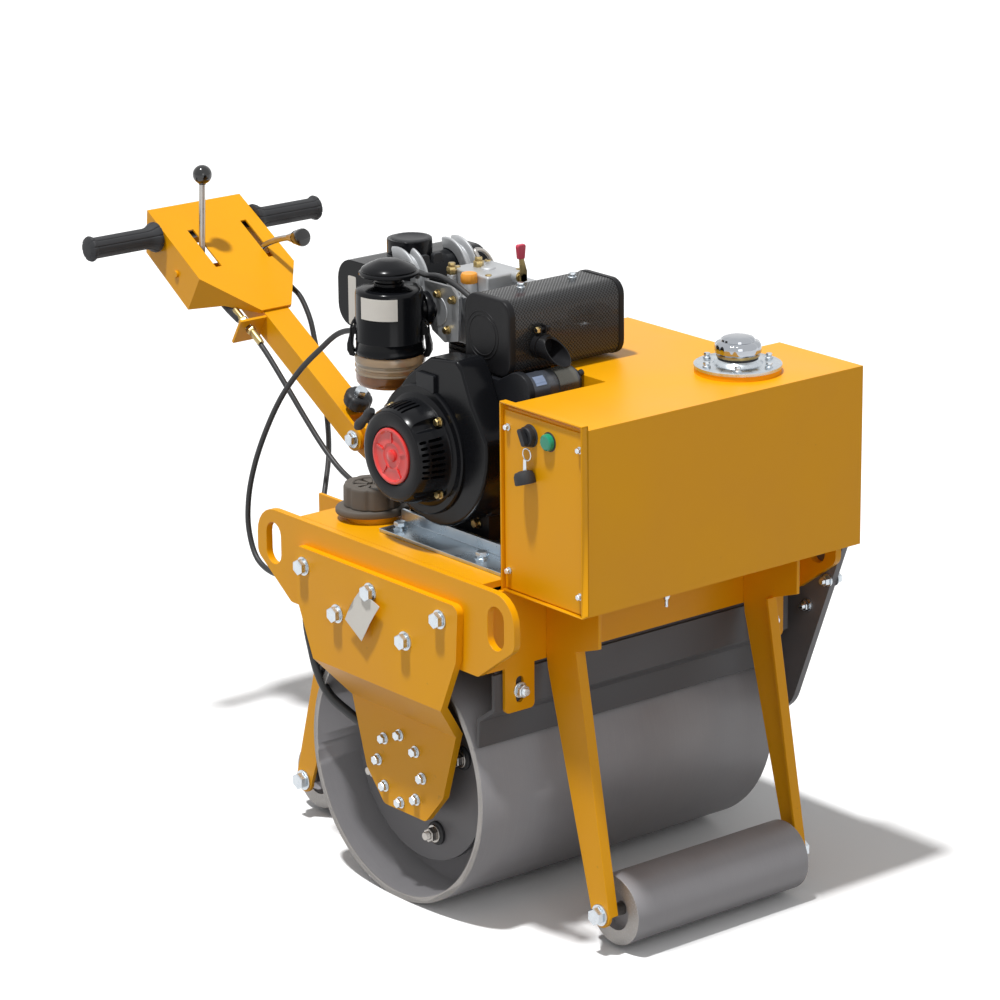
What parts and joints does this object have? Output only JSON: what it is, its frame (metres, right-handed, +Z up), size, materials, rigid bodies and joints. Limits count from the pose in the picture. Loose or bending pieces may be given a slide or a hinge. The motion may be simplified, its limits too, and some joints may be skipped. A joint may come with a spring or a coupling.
{
  "type": "walk-behind road roller",
  "caption": "Walk-behind road roller with one smooth steel drum between side plates, an engine and water tank on top, folding steering handle and small support rollers front and rear.",
  "frame": {"origin": "on the ground, under the middle of the machine's footprint box", "axes": "+Z up, +X ahead of the walking operator (handle at -X), +Y the machine's left side"},
  "size_m": [1.368, 0.7186, 0.9963],
  "materials": {
    "yellow_paint": "smooth golden-yellow enamel, semi-gloss",
    "dark_grey_paint": "dark grey paint, satin, worn on the rolling faces",
    "gloss_black": "gloss black enamel",
    "satin_black": "satin black enamel",
    "cast_alloy": "cast, bead-blasted",
    "zinc": "zinc plated steel",
    "chrome": "polished",
    "black_rubber": "moulded, matt",
    "black_plastic": "moulded, fine grain",
    "amber_plastic": "clear amber",
    "red_plastic": "glossy",
    "green_plastic": "translucent lens"
  },
  "bodies": {
    "frame": {"right_side_plate": "yellow_paint", "left_side_plate": "yellow_paint", "deck_plate": "yellow_paint", "front_cross_plate": "yellow_paint", "rear_cross_plate": "yellow_paint", "right_drum_bracket": "yellow_paint", "right_hub_carrier": "dark_grey_paint", "left_drive_carrier": "dark_grey_paint", "front_right_leg": "yellow_paint", "front_left_leg": "yellow_paint", "front_roller_axle": "zinc", "rear_right_leg": "yellow_paint", "rear_left_leg": "yellow_paint", "rear_roller_axle": "zinc", "front_scraper": "dark_grey_paint", "rear_scraper": "dark_grey_paint", "hood": "yellow_paint", "tank_side_panel": "yellow_paint", "key_switch": "black_plastic", "indicator_lamp": "green_plastic", "tank_cap": "chrome", "right_engine_rail": "zinc", "left_engine_rail": "zinc", "crankcase": "satin_black", "cylinder_head": "cast_alloy", "fan_shroud": "gloss_black", "recoil_starter": "gloss_black", "recoil_badge": "red_plastic", "air_cleaner_bowl": "amber_plastic", "air_cleaner": "satin_black", "fuel_tank": "gloss_black", "right_tank_strap": "cast_alloy", "left_tank_strap": "cast_alloy", "muffler": "satin_black", "starter_motor": "satin_black", "oil_filler_cap": "black_plastic", "handle_lug": "yellow_paint", "right_control_cable": "black_rubber", "left_control_cable": "black_rubber", "throttle_cable": "black_rubber"},
    "drum": {"drum": "dark_grey_paint"},
    "front_roller": {"front_support_roller": "dark_grey_paint"},
    "rear_roller": {"rear_support_roller": "dark_grey_paint"},
    "handle": {"handle_arm": "yellow_paint", "handle_pin": "zinc", "console": "yellow_paint", "handlebar": "satin_black", "right_grip": "black_rubber", "left_grip": "black_rubber", "lever_shaft": "zinc", "right_lever": "zinc", "left_lever": "zinc", "handle_lock_knob": "black_plastic"}
  },
  "joints": [
    {"name": "drum_spin", "type": "hinge", "parent": "frame", "child": "drum", "pos_m": [0.25504, -0.017, 0.2125], "axis": [0, 1, 0], "continuous": true},
    {"name": "front_roller_spin", "type": "hinge", "parent": "frame", "child": "front_roller", "pos_m": [0.62904, -0.017, 0.064], "axis": [0, 1, 0], "continuous": true},
    {"name": "rear_roller_spin", "type": "hinge", "parent": "frame", "child": "rear_roller", "pos_m": [-0.11896, -0.017, 0.064], "axis": [0, 1, 0], "continuous": true},
    {"name": "handle_fold", "type": "hinge", "parent": "frame", "child": "handle", "pos_m": [-0.20296, -0.017, 0.594], "axis": [0, 1, 0], "range_deg": [-6, 60], "deforming": ["right_control_cable", "left_control_cable"]}
  ]
}
